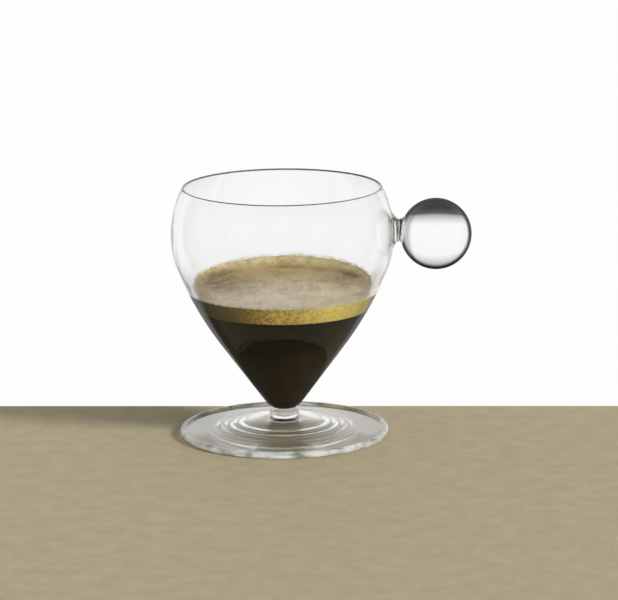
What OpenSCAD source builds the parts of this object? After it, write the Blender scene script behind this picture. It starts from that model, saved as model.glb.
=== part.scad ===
// Clear glass espresso cup, blown and joined at the lamp: a bowl on a knop and a rippled foot,
// with a solid glass ball on a short neck as its handle, and an espresso under its crema.
// Origin on the cup's axis at the table, +Z up, +X towards the ball.

/* [Bowl] */
// Widest outside diameter of the bowl
bowl_d = 63.6; // [52:0.2:78]
// Height of the widest ring above the knop
widest_h = 50.2; // [41:0.2:62]
// Height of the rim's outer edge above the widest ring
rim_h = 13.95; // [8:0.05:20]
// Radius of the shoulder that draws in from the widest ring to the rim
shoulder_r = 30.7; // [24:0.1:45]
// Radius of the belly just below the widest ring
belly_r = 26; // [18:0.1:34]
// Radius of the long flank between the belly and the cone
flank_r = 103; // [70:0.5:140]
// Angle that the flank turns through before the straight cone takes over
flank_turn = 14.2; // [10:0.1:18]
// Diameter of the ball that rounds the bowl's tip
tip_d = 13.6; // [11:0.1:20]
// Glass thickness of the cone
wall_base = 1.9; // [1.2:0.05:2.6]
// Glass thickness at the rim
wall_rim = 0.65; // [0.5:0.05:1.6]
// Glass under the deepest point of the inside
floor_t = 1.2; // [0.8:0.05:2.4]

/* [Knop] */
// Diameter of the knop where the bowl sits on it
knop_top_d = 6.6; // [4.4:0.1:9]
// Diameter of the knop where it sits on the foot
knop_base_d = 8; // [6:0.1:12]
// Height of the knop
knop_h = 2.7; // [1.6:0.1:8]
// How far the knop's side swells past a straight cone
knop_swell = 0.65; // [0.1:0.05:0.9]

/* [Foot] */
// Outside diameter of the foot
foot_d = 60; // [50:0.5:76]
// Height of the foot under the knop
foot_h = 5.1; // [4:0.1:8]
// Height of the disc where the hill begins
disc_h = 2; // [1.6:0.05:3]
// Height of the disc inside the edge bead
edge_h = 1.25; // [1:0.05:1.6]
// Thickness of the rounded bead along the edge
bead_d = 1.9; // [1.65:0.05:2.6]
// Width of the hill that climbs from the disc to the knop
hill_w = 17.6; // [9:0.2:20]
// Number of ripples round the hill
ripple_n = 4; // [1:1:5]
// Radius at which the inmost ripple begins
ripple_in_r = 10.7; // [8:0.1:13]
// Distance from one ripple to the next
ripple_pitch = 2.6; // [1.6:0.1:3]
// Height of the inmost ripple
ripple_h = 0.18; // [0.05:0.01:0.4]
// Share by which the outermost ripple is lower than the inmost
ripple_fade = 0.35; // [0:0.05:0.9]
// Width of the flat ring that stands on the table
rest_w = 1.6; // [0.8:0.1:3]
// Rise of the hollow under the disc
kick_h = 0.8; // [0.3:0.05:1]
// Glass between the knop and the dome under the hill
dome_t = 1.5; // [1:0.1:3]

/* [Handle] */
// Height of the handle's root above the widest ring
handle_rise = 1.2; // [-5:0.1:6]
// Angle by which the neck and the ball droop
handle_droop = 6.5; // [0:0.5:12]
// Diameter of the boss where it spreads on the bowl's wall
boss_d = 13; // [10:0.1:16]
// Length of the boss out from the wall
boss_l = 1.4; // [0.8:0.1:3]
// Radius of the boss's hollow flank
boss_flank_r = 5; // [4:0.1:12]
// Diameter of the neck where it leaves the boss
neck_d = 6.1; // [4.5:0.1:7.5]
// Depth of the hollow in the neck's side
neck_hollow = 0.15; // [0.05:0.05:0.4]
// Diameter of the ball
ball_d = 20.3; // [16:0.1:26]
// Diameter of the weld between the neck and the ball
ball_weld_d = 8.4; // [6:0.1:10]
// Length of the neck between the boss and the ball's weld
neck_l = 1.35; // [1:0.05:6]

/* [Espresso] */
// Height of the coffee above the deepest point of the inside
coffee_h = 28.5; // [14:0.5:36]
// Thickness of the crema on the coffee
crema_t = 4.7; // [1.5:0.1:8]

/* [Hidden] */
$fn = 288;
glass = [0.86, 0.9, 0.9, 0.4];
arc_steps = 12;
same_point = 0.001;

// Heights of the stack: foot, knop, bowl
knop_z = foot_h;
tip_z = knop_z + knop_h;
widest_z = tip_z + widest_h;
rim_z = widest_z + rim_h;

// Bowl outline, as [radius, height]: shoulder, belly and flank arcs, each tangent to the next,
// and a straight cone tangent to the flank and to the ball of the tip. The cone's angle follows
// from the way between the belly and the tip, and the belly turns until the flank can reach it
bowl_r = bowl_d / 2;
tip_r = tip_d / 2;
shoulder_c = [bowl_r - shoulder_r, widest_z];
rim_a = asin(rim_h / shoulder_r);
belly_c = [bowl_r - belly_r, widest_z];
tip_c = [0, tip_z + sqrt(pow(tip_r, 2) - pow(knop_top_d / 2, 2))];
belly_to_tip = belly_c - tip_c;
cone_reach = tip_r - flank_r + (flank_r - belly_r) * cos(flank_turn);
cone_a = acos(cone_reach / norm(belly_to_tip)) - atan2(belly_to_tip.y, belly_to_tip.x);
belly_turn = cone_a - flank_turn;
flank_c = belly_c + (belly_r - flank_r) * dir(-belly_turn);
cone_z = (flank_c + flank_r * dir(-cone_a)).y;

// Inside of the bowl: its rounded bottom is a ball tangent to the inner cone
floor_z = tip_z + floor_t;
inner_apex_z = tip_c.y - (tip_r - wall_base) / sin(cone_a);
inner_tip_c = [0, inner_apex_z + (floor_z - inner_apex_z) / (1 - sin(cone_a))];
inner_tip_r = inner_tip_c.y - floor_z;

// Fill levels
coffee_z = floor_z + coffee_h;
crema_z = coffee_z + crema_t;

// Foot: the edge bead stands on the rest ring, the hill ends at the knop and is domed underneath
bead_c = [(foot_d - bead_d) / 2, bead_d / 2];
bead_end_a = 180 - asin((edge_h - bead_c.y) / bead_c.y);
bead_in_r = (bead_c + bead_d / 2 * dir(bead_end_a)).x;
hill_in_r = knop_base_d / 2;
hill_out_r = hill_in_r + hill_w;
ripple_out_r = ripple_in_r + ripple_n * ripple_pitch;
rest_in_r = bead_c.x - rest_w;
dome_h = foot_h - dome_t - kick_h;

// Handle: boss square to the axis, neck and ball drooping from the boss's end
handle_z = widest_z + handle_rise;
root_r = outside_r(handle_z);
boss_drop = pow(boss_d / 2, 2) / bowl_d;
boss_back = boss_d / 2;
ball_r = ball_d / 2;
ball_z = neck_l + sqrt(pow(ball_r, 2) - pow(ball_weld_d / 2, 2));
neck_back = neck_d * tan(handle_droop);

// Unit vector at angle a
function dir(a) = [cos(a), sin(a)];

// Points on the arc of radius r about c, from angle a to angle b
function arc(c, r, a, b) = [for (i = [0:arc_steps]) c + r * dir(a + (b - a) * i / arc_steps)];

// Points on the arc of radius r from p to q, which bends to the right of the way from p to q
function bend(p, q, r) =
    let (chord = q - p)
    let (half_a = asin(norm(chord) / 2 / r))
    let (way_a = atan2(chord.y, chord.x))
    arc(p + r * dir(way_a + 90 - half_a), r, way_a - 90 - half_a, way_a - 90 + half_a);

// Radius of an arc whose chord runs from p to q and that rises by h
function rise_r(p, q, h) = pow(norm(q - p), 2) / (8 * h) + h / 2;

// Outside radius of the bowl near its widest ring, at height z
function outside_r(z) =
    let (r = z > widest_z ? shoulder_r : belly_r)
    bowl_r - r + sqrt(pow(r, 2) - pow(z - widest_z, 2));

// Glass thickness at height z: even on the cone, thinning from there to the rim
function wall(z) = wall_base + (wall_rim - wall_base) * max(0, (z - cone_z) / (rim_z - cone_z));

// Points inside the arc of radius r about c by the thickness of the glass
function inner_arc(c, r, a, b) =
    [for (p = arc(c, r, a, b)) p - wall(p.y) * (p - c) / r];

function outside_line() = concat(
    arc(tip_c, tip_r, -acos(knop_top_d / tip_d), -cone_a),
    arc(flank_c, flank_r, -cone_a, -belly_turn),
    arc(belly_c, belly_r, -belly_turn, 0),
    arc(shoulder_c, shoulder_r, 0, rim_a));

function inside_line() = concat(
    arc(inner_tip_c, inner_tip_r, -90, -cone_a),
    inner_arc(flank_c, flank_r, -cone_a, -belly_turn),
    inner_arc(belly_c, belly_r, -belly_turn, 0),
    inner_arc(shoulder_c, shoulder_r, 0, rim_a));

function lip_line() =
    arc(shoulder_c + (shoulder_r - wall_rim / 2) * dir(rim_a), wall_rim / 2, rim_a, rim_a + 180);

function last(line) = line[len(line) - 1];

function turned_back(line) = [for (i = [len(line) - 1:-1:0]) line[i]];

// Drops points that repeat the one before
function distinct(line) =
    [for (i = [0:len(line) - 1])
        if (i == 0 || norm(line[i] - line[i - 1]) > same_point) line[i]];

// Share of the hill's height at radius r: a raised cosine from the hill's end up to the knop
function hill_share(r) = (1 - cos(180 * max(0, min(1, (hill_out_r - r) / hill_w)))) / 2;

// Height of the foot's top at radius r, without its ripples
function plain_z(r) =
    disc_h + (foot_h - disc_h) * hill_share(r)
        + (edge_h - disc_h) * max(0, r - hill_out_r) / (bead_in_r - hill_out_r);

// Height of the ripples: one raised cosine for each, lower from one to the next
function ripple_z(r) =
    let (turns = (r - ripple_in_r) / ripple_pitch)
    turns < 0 || turns > ripple_n ? 0
        : ripple_h / 2 * (1 - cos(360 * turns)) * (1 - ripple_fade * pow(turns / ripple_n, 2));

// Points from radius a to radius b, at the height of the foot's top
function top_line(a, b, steps) =
    [for (i = [0:steps]) let (r = a + (b - a) * i / steps) [r, plain_z(r) + ripple_z(r)]];

// The foot's underside from the axis out to the rest ring
function under_line() =
    [for (i = [0:3 * arc_steps])
        let (r = rest_in_r * i / (3 * arc_steps))
        [r, kick_h * (1 - pow(r / rest_in_r, 2)) + dome_h * hill_share(r)]];

// The bowl's outer form, filled
module outer_form() {
    rotate_extrude()
        polygon(distinct(concat([[0, tip_z]], outside_line(), [[0, rim_z]])));
}

// The bowl's inside, filled up to height z
module inner_fill(z) {
    intersection() {
        rotate_extrude()
            polygon(distinct(concat(inside_line(), [[0, last(inside_line()).y]])));
        cylinder(h = z, d = bowl_d);
    }
}

// Local +Z runs out from the bowl's wall, along the boss
module on_boss() {
    translate([root_r, 0, handle_z])
        rotate([0, 90, 0])
            children();
}

// Local +Z runs from the boss's end to the ball's centre
module on_neck() {
    on_boss()
        translate([0, 0, boss_l])
            rotate([0, handle_droop, 0])
                children();
}

module foot() {
    color(glass)
        rotate_extrude()
            polygon(distinct(concat(
                under_line(),
                arc(bead_c, bead_d / 2, -90, bead_end_a),
                top_line(bead_in_r, ripple_out_r, arc_steps),
                top_line(ripple_out_r, ripple_in_r, ripple_n * arc_steps),
                top_line(ripple_in_r, hill_in_r, arc_steps),
                [[0, foot_h]])));
}

module stem_knop() {
    base = [knop_base_d / 2, knop_z];
    top = [knop_top_d / 2, tip_z];
    color(glass)
        rotate_extrude()
            polygon(concat([[0, knop_z]], bend(base, top, rise_r(base, top, knop_swell)), [[0, tip_z]]));
}

module bowl() {
    color(glass)
        rotate_extrude()
            polygon(distinct(concat([[0, tip_z]], outside_line(), lip_line(), turned_back(inside_line()))));
}

module handle_boss() {
    edge = [boss_d / 2, -boss_drop];
    end = [neck_d / 2, boss_l];
    color(glass)
        difference() {
            on_boss()
                rotate_extrude()
                    polygon(concat(
                        [[0, -boss_back], [boss_d / 2, -boss_back]],
                        turned_back(bend(end, edge, boss_flank_r)),
                        [[0, boss_l]]));
            outer_form();
        }
}

module handle_neck() {
    root = [neck_d / 2, 0];
    weld = [ball_weld_d / 2, neck_l];
    color(glass)
        difference() {
            on_neck()
                rotate_extrude()
                    polygon(concat(
                        [[0, -neck_back], [neck_d / 2, -neck_back]],
                        turned_back(bend(weld, root, rise_r(weld, root, neck_hollow))),
                        [[0, neck_l]]));
            on_boss()
                translate([0, 0, -boss_back])
                    cylinder(h = boss_back + boss_l, d = boss_d);
        }
}

module handle_ball() {
    color(glass)
        on_neck()
            difference() {
                translate([0, 0, ball_z])
                    sphere(d = ball_d);
                translate([0, 0, neck_l - ball_r])
                    cylinder(h = ball_r, d = ball_d);
            }
}

module coffee() {
    color([0.16, 0.13, 0.08])
        inner_fill(coffee_z);
}

module crema() {
    color([0.74, 0.62, 0.4])
        difference() {
            inner_fill(crema_z);
            cylinder(h = coffee_z, d = bowl_d);
        }
}

foot();
stem_knop();
bowl();
handle_boss();
handle_neck();
handle_ball();
coffee();
crema();
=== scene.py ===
"""Looks of a clear glass espresso cup: blown bowl, knop, rippled foot, ball handle and a fresh espresso.

Every piece is a closed skin worked out with numpy, in metres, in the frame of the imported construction:
origin on the cup's axis at the table, +Z up, +X towards the handle's ball.
"""

import logging
from dataclasses import dataclass
from enum import Enum

import bpy
import numpy as np
from mathutils import Matrix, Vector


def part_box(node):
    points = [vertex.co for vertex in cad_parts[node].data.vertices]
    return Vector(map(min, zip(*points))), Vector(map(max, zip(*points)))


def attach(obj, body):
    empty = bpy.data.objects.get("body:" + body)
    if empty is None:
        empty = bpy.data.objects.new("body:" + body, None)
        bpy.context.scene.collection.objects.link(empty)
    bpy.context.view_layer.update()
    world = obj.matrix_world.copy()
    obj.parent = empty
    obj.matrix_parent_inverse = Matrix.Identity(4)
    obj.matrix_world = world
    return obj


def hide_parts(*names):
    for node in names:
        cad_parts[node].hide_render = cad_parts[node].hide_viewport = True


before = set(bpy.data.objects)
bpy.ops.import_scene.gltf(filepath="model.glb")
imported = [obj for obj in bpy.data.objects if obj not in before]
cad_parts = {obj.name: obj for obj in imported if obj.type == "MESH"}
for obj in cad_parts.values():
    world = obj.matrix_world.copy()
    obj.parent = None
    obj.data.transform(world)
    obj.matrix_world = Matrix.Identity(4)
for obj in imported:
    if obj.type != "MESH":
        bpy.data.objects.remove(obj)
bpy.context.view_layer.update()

BODY = "root"
MM = 0.001
SAME_POINT = 0.0001 * MM
GLASS_IOR = 1.47
NOISE_ROUGHNESS = 0.55
WELD_SHARES = (0.25, 0.5, 0.75)
PHOTO_WIDTH = 618
log = logging.getLogger("espresso_cup")

Span = tuple[float, float]
Triple = tuple[float, float, float]
Colour = tuple[float, float, float, float]
Socket = bpy.types.NodeSocket


class Slot(Enum):
    """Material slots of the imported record."""

    GLASS = "clear_glass"
    COFFEE = "espresso"
    CREMA = "crema"


class Face(Enum):
    """Which finish a face takes: own skin, clear weld, edge with painted light and shade, or skin with the
    drink behind it.
    """

    SKIN = 0
    WELD = 1
    EDGE = 2
    WET = 3


class Axis(Enum):
    """Axis of a piece that a colour fades along."""

    X = "X"
    Y = "Y"
    Z = "Z"


def unit(angle: np.ndarray | float) -> np.ndarray:
    """Unit vectors (cosine, sine) at an angle in radians, stacked on the last axis."""
    return np.stack([np.cos(angle), np.sin(angle)], axis=-1)


def on_axis(height: float) -> np.ndarray:
    """Point on the cup's axis at a height."""
    return np.array([0.0, 0.0, height])


def arc(centre: np.ndarray, radius: float, start: float, end: float, steps: int) -> np.ndarray:
    """Points on a circular arc in the (radius, height) plane, the angles evenly spaced."""
    return centre + radius * unit(np.linspace(start, end, steps + 1))


def straight(start: np.ndarray, end: np.ndarray, steps: int) -> np.ndarray:
    """Points evenly spaced on the line from start to end, without its two ends."""
    share = np.linspace(0.0, 1.0, steps + 1)[1:-1, None]
    return start + share * (end - start)


def swell(start: np.ndarray, end: np.ndarray, rise: float, steps: int) -> np.ndarray:
    """Points on a parabola from start to end that bulges to the right of its way by rise.

    Formula: the straight line plus 4 t (1 - t) times the rise along the line's right-hand normal.

    Args:
        start: First point, as (radius, height).
        end: Last point.
        rise: Height of the bulge at half way; negative for a hollow.
        steps: Number of equal steps.

    Returns:
        Array of steps + 1 points.
    """
    share = np.linspace(0.0, 1.0, steps + 1)[:, None]
    way = (end - start) / np.linalg.norm(end - start)
    side = np.array([way[1], -way[0]])
    return start + share * (end - start) + 4.0 * share * (1.0 - share) * rise * side


def joined(*lines: np.ndarray) -> np.ndarray:
    """One line from several, without points that repeat the one before.

    Args:
        *lines: Lines in their order.

    Returns:
        Array of points.
    """
    line = np.concatenate(lines)
    moved = np.linalg.norm(np.diff(line, axis=0), axis=1) > SAME_POINT
    return line[np.concatenate([[True], moved])]


def full_turn(count: int) -> np.ndarray:
    """Azimuths evenly spaced round one full turn, the first one at +X."""
    return np.linspace(0.0, 2.0 * np.pi, count, endpoint=False)


def round_axis(radius: np.ndarray, azimuth: np.ndarray, height: np.ndarray) -> np.ndarray:
    """Points round the Z axis: the radius times the azimuth's cosine and sine, and the height."""
    flat = radius[..., None] * unit(azimuth)
    return np.concatenate([flat, np.broadcast_to(height[..., None], flat.shape[:-1] + (1,))], axis=-1)


def turned(line: np.ndarray, count: int) -> np.ndarray:
    """Rings of a surface of revolution, of shape (points, count, 3), from (radius, height) points."""
    return round_axis(line[:, :1], full_turn(count), line[:, 1:])


def quads(index: np.ndarray) -> np.ndarray:
    """Four-sided faces between neighbouring closed rings of point numbers."""
    beside = np.roll(index, -1, axis=1)
    return np.stack([index[:-1], beside[:-1], beside[1:], index[1:]], axis=-1)


def smooth_step(value: np.ndarray, low: float, high: float) -> np.ndarray:
    """Eases from 0 at low to 1 at high as 3 t squared minus 2 t cubed."""
    share = np.clip((value - low) / (high - low), 0.0, 1.0)
    return share * share * (3.0 - 2.0 * share)


@dataclass(frozen=True)
class Waves:
    """Smooth random relief of plane cosine waves.

    Attributes:
        length: Typical wavelength.
        count: Number of waves.
        seed: Seed of the random draws.
        level: Standard deviation of the relief.
        spread: Shortest and longest wave as shares of the typical one.
    """

    length: float
    count: int
    seed: int
    level: float = 1.0
    spread: Span = (0.7, 1.5)

    def at(self, x: np.ndarray, y: np.ndarray) -> np.ndarray:
        """Height of the relief at a place.

        Formula: the sum of the cosines of each wave's number times the way along it plus its phase, times
        the level and the root of 2 over the count.

        Args:
            x: First coordinate.
            y: Second coordinate.

        Returns:
            Array like x.
        """
        rng = np.random.default_rng(self.seed)
        heading, phase = rng.uniform(0.0, 2.0 * np.pi, (2, self.count))
        number = 2.0 * np.pi / (self.length * rng.uniform(*self.spread, self.count))
        along = x[..., None] * np.cos(heading) + y[..., None] * np.sin(heading)
        return self.level * np.sqrt(2.0 / self.count) * np.cos(along * number + phase).sum(axis=-1)

    def round_circle(self, azimuth: np.ndarray) -> np.ndarray:
        """Height of the relief along the unit circle."""
        return self.at(np.cos(azimuth), np.sin(azimuth))


@dataclass(frozen=True)
class Bell:
    """Bell curve over one or more coordinates, with a middle, a width for each and a highest level."""

    middle: tuple[float, ...]
    width: tuple[float, ...]
    level: float

    def at(self, *place: np.ndarray) -> np.ndarray:
        """The level times e to the minus sum of the squares of (coordinate - middle) / width."""
        far = sum(((value - mid) / wide) ** 2 for value, mid, wide in zip(place, self.middle, self.width))
        return self.level * np.exp(-far)


@dataclass
class Skin:
    """A closed skin in numbers: rings of points carried from one pole to another.

    Attributes:
        rings: Array of shape (rings, points round, 3), each ring running to the right of the way.
        first_pole: Point that closes the skin before the first ring.
        last_pole: Point that closes the skin after the last ring.
        weld_rows: Rows of faces that are welds; row 0 is the fan at the first pole.
        edge_rows: Rows of faces that take the edge finish with painted light and shade.
        sharp_rings: Rings whose edges stay sharp.
    """

    rings: np.ndarray
    first_pole: np.ndarray
    last_pole: np.ndarray
    weld_rows: tuple[int, ...] = ()
    edge_rows: tuple[int, ...] = ()
    sharp_rings: tuple[int, ...] = ()

    def points(self) -> np.ndarray:
        """All points: the rings in order, then the two poles."""
        return np.concatenate([self.rings.reshape(-1, 3), [self.first_pole], [self.last_pole]])

    def index(self) -> np.ndarray:
        """Index of each ring point, of shape (rings, points round)."""
        return np.arange(self.rings.shape[0] * self.rings.shape[1]).reshape(self.rings.shape[:2])

    def walls(self) -> np.ndarray:
        """Four-sided faces between the rings, of shape (rings - 1, points round, 4)."""
        return quads(self.index())

    def fan(self, at_end: bool) -> np.ndarray:
        """Triangles that close one end.

        Args:
            at_end: Whether the end is the last one.

        Returns:
            Array of shape (points round, 3).
        """
        ring = self.index()[-1 if at_end else 0]
        pole = np.full_like(ring, self.index().size + int(at_end))
        beside = np.roll(ring, -1)
        return np.stack([pole, ring, beside] if at_end else [pole, beside, ring], axis=-1)

    def faces(self) -> list[list[int]]:
        """Faces row by row: first fan, walls, last fan."""
        return self.fan(False).tolist() + self.walls().reshape(-1, 4).tolist() + self.fan(True).tolist()

    def face_kinds(self) -> np.ndarray:
        """Finish of each face.

        Returns:
            Values of Face in the order of faces.
        """
        rows = np.full(self.rings.shape[0] + 1, Face.SKIN.value)
        rows[list(self.weld_rows)] = Face.WELD.value
        rows[list(self.edge_rows)] = Face.EDGE.value
        return np.repeat(rows, self.rings.shape[1])

    def sharp_labels(self) -> np.ndarray:
        """Sharp ring that each point is on.

        Returns:
            Number of the ring for each point, or -1.
        """
        labels = np.full(self.rings.shape[:2], -1)
        for number in self.sharp_rings:
            labels[number] = number % self.rings.shape[0]
        return np.concatenate([labels.ravel(), [-1, -1]])

    def mesh(self, name: str) -> bpy.types.Mesh:
        """Mesh of the skin as it is."""
        return make_mesh(name, self.points(), self.faces(), self.face_kinds(), self.sharp_labels())


def make_mesh(name: str, points: np.ndarray, faces: list[list[int]], kinds: np.ndarray,
              sharp_labels: np.ndarray) -> bpy.types.Mesh:
    """Puts a skin into a mesh with smooth shading and the marked edges sharp.

    Args:
        name: Name of the mesh.
        points: Places of the points.
        faces: Point numbers of each face.
        kinds: Value of Face for each face.
        sharp_labels: Sharp ring of each point, or -1; an edge within one such ring stays sharp.

    Returns:
        The new mesh.
    """
    mesh = bpy.data.meshes.new(name)
    mesh.from_pydata(points.tolist(), [], faces)
    mesh.shade_smooth()
    mesh.polygons.foreach_set("material_index", kinds.astype(np.int32))
    ends = np.zeros(len(mesh.edges) * 2, dtype=np.int32)
    mesh.edges.foreach_get("vertices", ends)
    labels = sharp_labels[ends.reshape(-1, 2)]
    sharp = (labels[:, 0] == labels[:, 1]) & (labels[:, 0] >= 0)
    mesh.edges.foreach_set("use_edge_sharp", sharp)
    mesh.update()
    return mesh


def place(mesh: bpy.types.Mesh, finishes: list[bpy.types.Material], slot: Slot,
          node: str) -> bpy.types.Object:
    """Makes a piece from a mesh, lets it ride on the cup and stand for its construction node.

    Args:
        mesh: Mesh whose name the piece takes.
        finishes: Materials, in the order of Face.
        slot: Record slot of the piece; not used.
        node: Construction node that the piece stands for.

    Returns:
        The new object.
    """
    piece = bpy.data.objects.new(mesh.name, mesh)
    bpy.context.scene.collection.objects.link(piece)
    for finish in finishes:
        mesh.materials.append(finish)
    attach(piece, BODY)
    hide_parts(node)
    log.info("%s: %d points, %d faces", piece.name, len(mesh.vertices), len(mesh.polygons))
    return piece


@dataclass(frozen=True)
class Grain:
    """Cloudy noise, stretched so that a span of its values gives a span of results.

    Attributes:
        size: Size of a cloud in metres.
        detail: Octaves of finer clouds.
        source: Noise values between which the result changes.
        target: Results at these values.
    """

    size: float
    detail: float
    source: Span
    target: Span = (0.0, 1.0)


@dataclass(frozen=True)
class Relief:
    """Cloudy bumps in a surface.

    Attributes:
        size: Size of a bump in metres.
        depth: Depth of the bumps in metres.
        detail: Octaves of finer bumps.
        strength: Share of the depth that the light sees.
    """

    size: float
    depth: float
    detail: float = 1.0
    strength: float = 1.0


@dataclass(frozen=True)
class Specks:
    """Round specks, scattered where a grain picks them out.

    Attributes:
        size: Distance between specks in metres.
        fade: Shares of that distance from the middle at which a speck starts and ends to fade.
        level: Share of the speck's colour in its middle.
        where: Grain that picks them out.
    """

    size: float
    fade: Span
    level: float
    where: Grain


@dataclass(frozen=True)
class Fade:
    """Share of a colour that eases in along an axis.

    Attributes:
        axis: Axis of the piece.
        source: Places on it, in metres, at which the share starts and is full.
        level: The full share.
    """

    axis: Axis
    source: Span
    level: float


@dataclass
class Tree:
    """A node tree that starts empty, with short ways to add nodes and link them."""

    owner: bpy.types.Material | bpy.types.World

    def __post_init__(self) -> None:
        """Switches the owner's nodes on and clears them."""
        self.owner.use_nodes = True
        self.tree = self.owner.node_tree
        self.tree.nodes.clear()

    def wire(self, socket: Socket, value: object) -> None:
        """Links an input to a socket, or sets it to a value.

        Args:
            socket: Input of a node.
            value: Socket to link, or value to set.
        """
        if isinstance(value, Socket):
            self.tree.links.new(value, socket)
        else:
            socket.default_value = value

    def node(self, kind: str, settings: dict | None = None, **inputs: object) -> bpy.types.Node:
        """Adds a node, sets its properties, and sets or links its inputs.

        Args:
            kind: Blender's name of the node type.
            settings: Properties of the node itself.
            **inputs: Inputs by name with underscores for spaces; a socket is linked, a value is set.

        Returns:
            The new node.
        """
        made = self.tree.nodes.new(kind)
        for key, value in (settings or {}).items():
            setattr(made, key, value)
        for key, value in inputs.items():
            self.wire(made.inputs[key.replace("_", " ")], value)
        return made

    def sum(self, operation: str, first: object, second: object) -> Socket:
        """Result of a sum with two numbers.

        Args:
            operation: Blender's name of the sum, such as MULTIPLY or MAXIMUM.
            first: First number or socket.
            second: Second number or socket.

        Returns:
            The result's socket.
        """
        made = self.node("ShaderNodeMath", {"operation": operation})
        self.wire(made.inputs[0], first)
        self.wire(made.inputs[1], second)
        return made.outputs[0]

    def place_on_piece(self) -> Socket:
        """Object coordinates of the piece, in metres."""
        return self.node("ShaderNodeTexCoord").outputs["Object"]

    def along(self, axis: Axis, spot: Socket) -> Socket:
        """One coordinate of a place."""
        return self.node("ShaderNodeSeparateXYZ", Vector=spot).outputs[axis.value]

    def stored(self, name: str) -> Socket:
        """Number that the mesh stores at its points under a name."""
        return self.node("ShaderNodeAttribute", {"attribute_name": name}).outputs["Fac"]

    def stretched(self, spot: Socket, scale: Triple, turn: float = 0.0) -> Socket:
        """Coordinates scaled along each axis and turned about Z, for patterns that run one way."""
        made = self.node("ShaderNodeMapping", Vector=spot, Scale=scale, Rotation=(0.0, 0.0, turn))
        return made.outputs["Vector"]

    def noise(self, size: float, detail: float, spot: Socket) -> Socket:
        """Cloudy noise from 0 to 1.

        Args:
            size: Size of a cloud in metres.
            detail: Octaves of finer clouds.
            spot: Coordinates to read.

        Returns:
            The noise value's socket.
        """
        made = self.node("ShaderNodeTexNoise", Vector=spot, Scale=1.0 / size, Detail=detail,
                         Roughness=NOISE_ROUGHNESS)
        return made.outputs["Fac"]

    def spread(self, value: Socket, source: Span, target: Span = (0.0, 1.0), eased: bool = False) -> Socket:
        """Maps a value from one range to another, held at the ends.

        Args:
            value: Number to map.
            source: Range of the number.
            target: Range of the result.
            eased: Whether the result eases in and out.

        Returns:
            The result's socket.
        """
        settings = {"interpolation_type": "SMOOTHSTEP" if eased else "LINEAR"}
        made = self.node("ShaderNodeMapRange", settings, Value=value, From_Min=source[0],
                         From_Max=source[1], To_Min=target[0], To_Max=target[1])
        return made.outputs["Result"]

    def grain(self, grain: Grain, spot: Socket) -> Socket:
        """Results of a grain."""
        return self.spread(self.noise(grain.size, grain.detail, spot), grain.source, grain.target)

    def fade(self, fade: Fade, spot: Socket) -> Socket:
        """Share of a fade."""
        return self.spread(self.along(fade.axis, spot), fade.source, (0.0, fade.level), eased=True)

    def specks(self, specks: Specks, spot: Socket, where: Socket) -> Socket:
        """Share of the specks' colour.

        Args:
            specks: Specks to scatter.
            spot: Coordinates that the specks read.
            where: Coordinates that their grain reads.

        Returns:
            The share's socket.
        """
        cells = self.node("ShaderNodeTexVoronoi", Vector=spot, Scale=1.0 / specks.size)
        dots = self.spread(cells.outputs["Distance"], specks.fade, (specks.level, 0.0))
        return self.sum("MULTIPLY", dots, self.grain(specks.where, where))

    def relief(self, relief: Relief, spot: Socket) -> Socket:
        """Normal bent by a relief.

        Args:
            relief: Bumps to add.
            spot: Coordinates that they read.

        Returns:
            The normal's socket.
        """
        height = self.noise(relief.size, relief.detail, spot)
        made = self.node("ShaderNodeBump", Height=height, Strength=relief.strength, Distance=relief.depth)
        return made.outputs["Normal"]

    def blend(self, share: Socket, first: object, second: object) -> Socket:
        """Mixes two colours. The colour sockets of a mix go by number, since others have the same names.

        Args:
            share: Share of the second colour.
            first: Colour or socket at share 0.
            second: Colour or socket at share 1.

        Returns:
            The mixed colour's socket.
        """
        made = self.node("ShaderNodeMix", {"data_type": "RGBA"})
        for number, value in ((0, share), (6, first), (7, second)):
            self.wire(made.inputs[number], value)
        return made.outputs[2]

    def surface(self, **inputs: object) -> bpy.types.Material:
        """Ends the tree with a surface shader.

        Args:
            **inputs: The shader's inputs, as in node.

        Returns:
            The finished material.
        """
        made = self.node("ShaderNodeBsdfPrincipled", **inputs)
        self.node("ShaderNodeOutputMaterial", Surface=made.outputs["BSDF"])
        return self.owner


def new_shader(name: str) -> Tree:
    """Node tree of a new material."""
    return Tree(bpy.data.materials.new(name))


def grey(value: float) -> Colour:
    """Neutral colour of a linear value."""
    return (value, value, value, 1.0)


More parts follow.
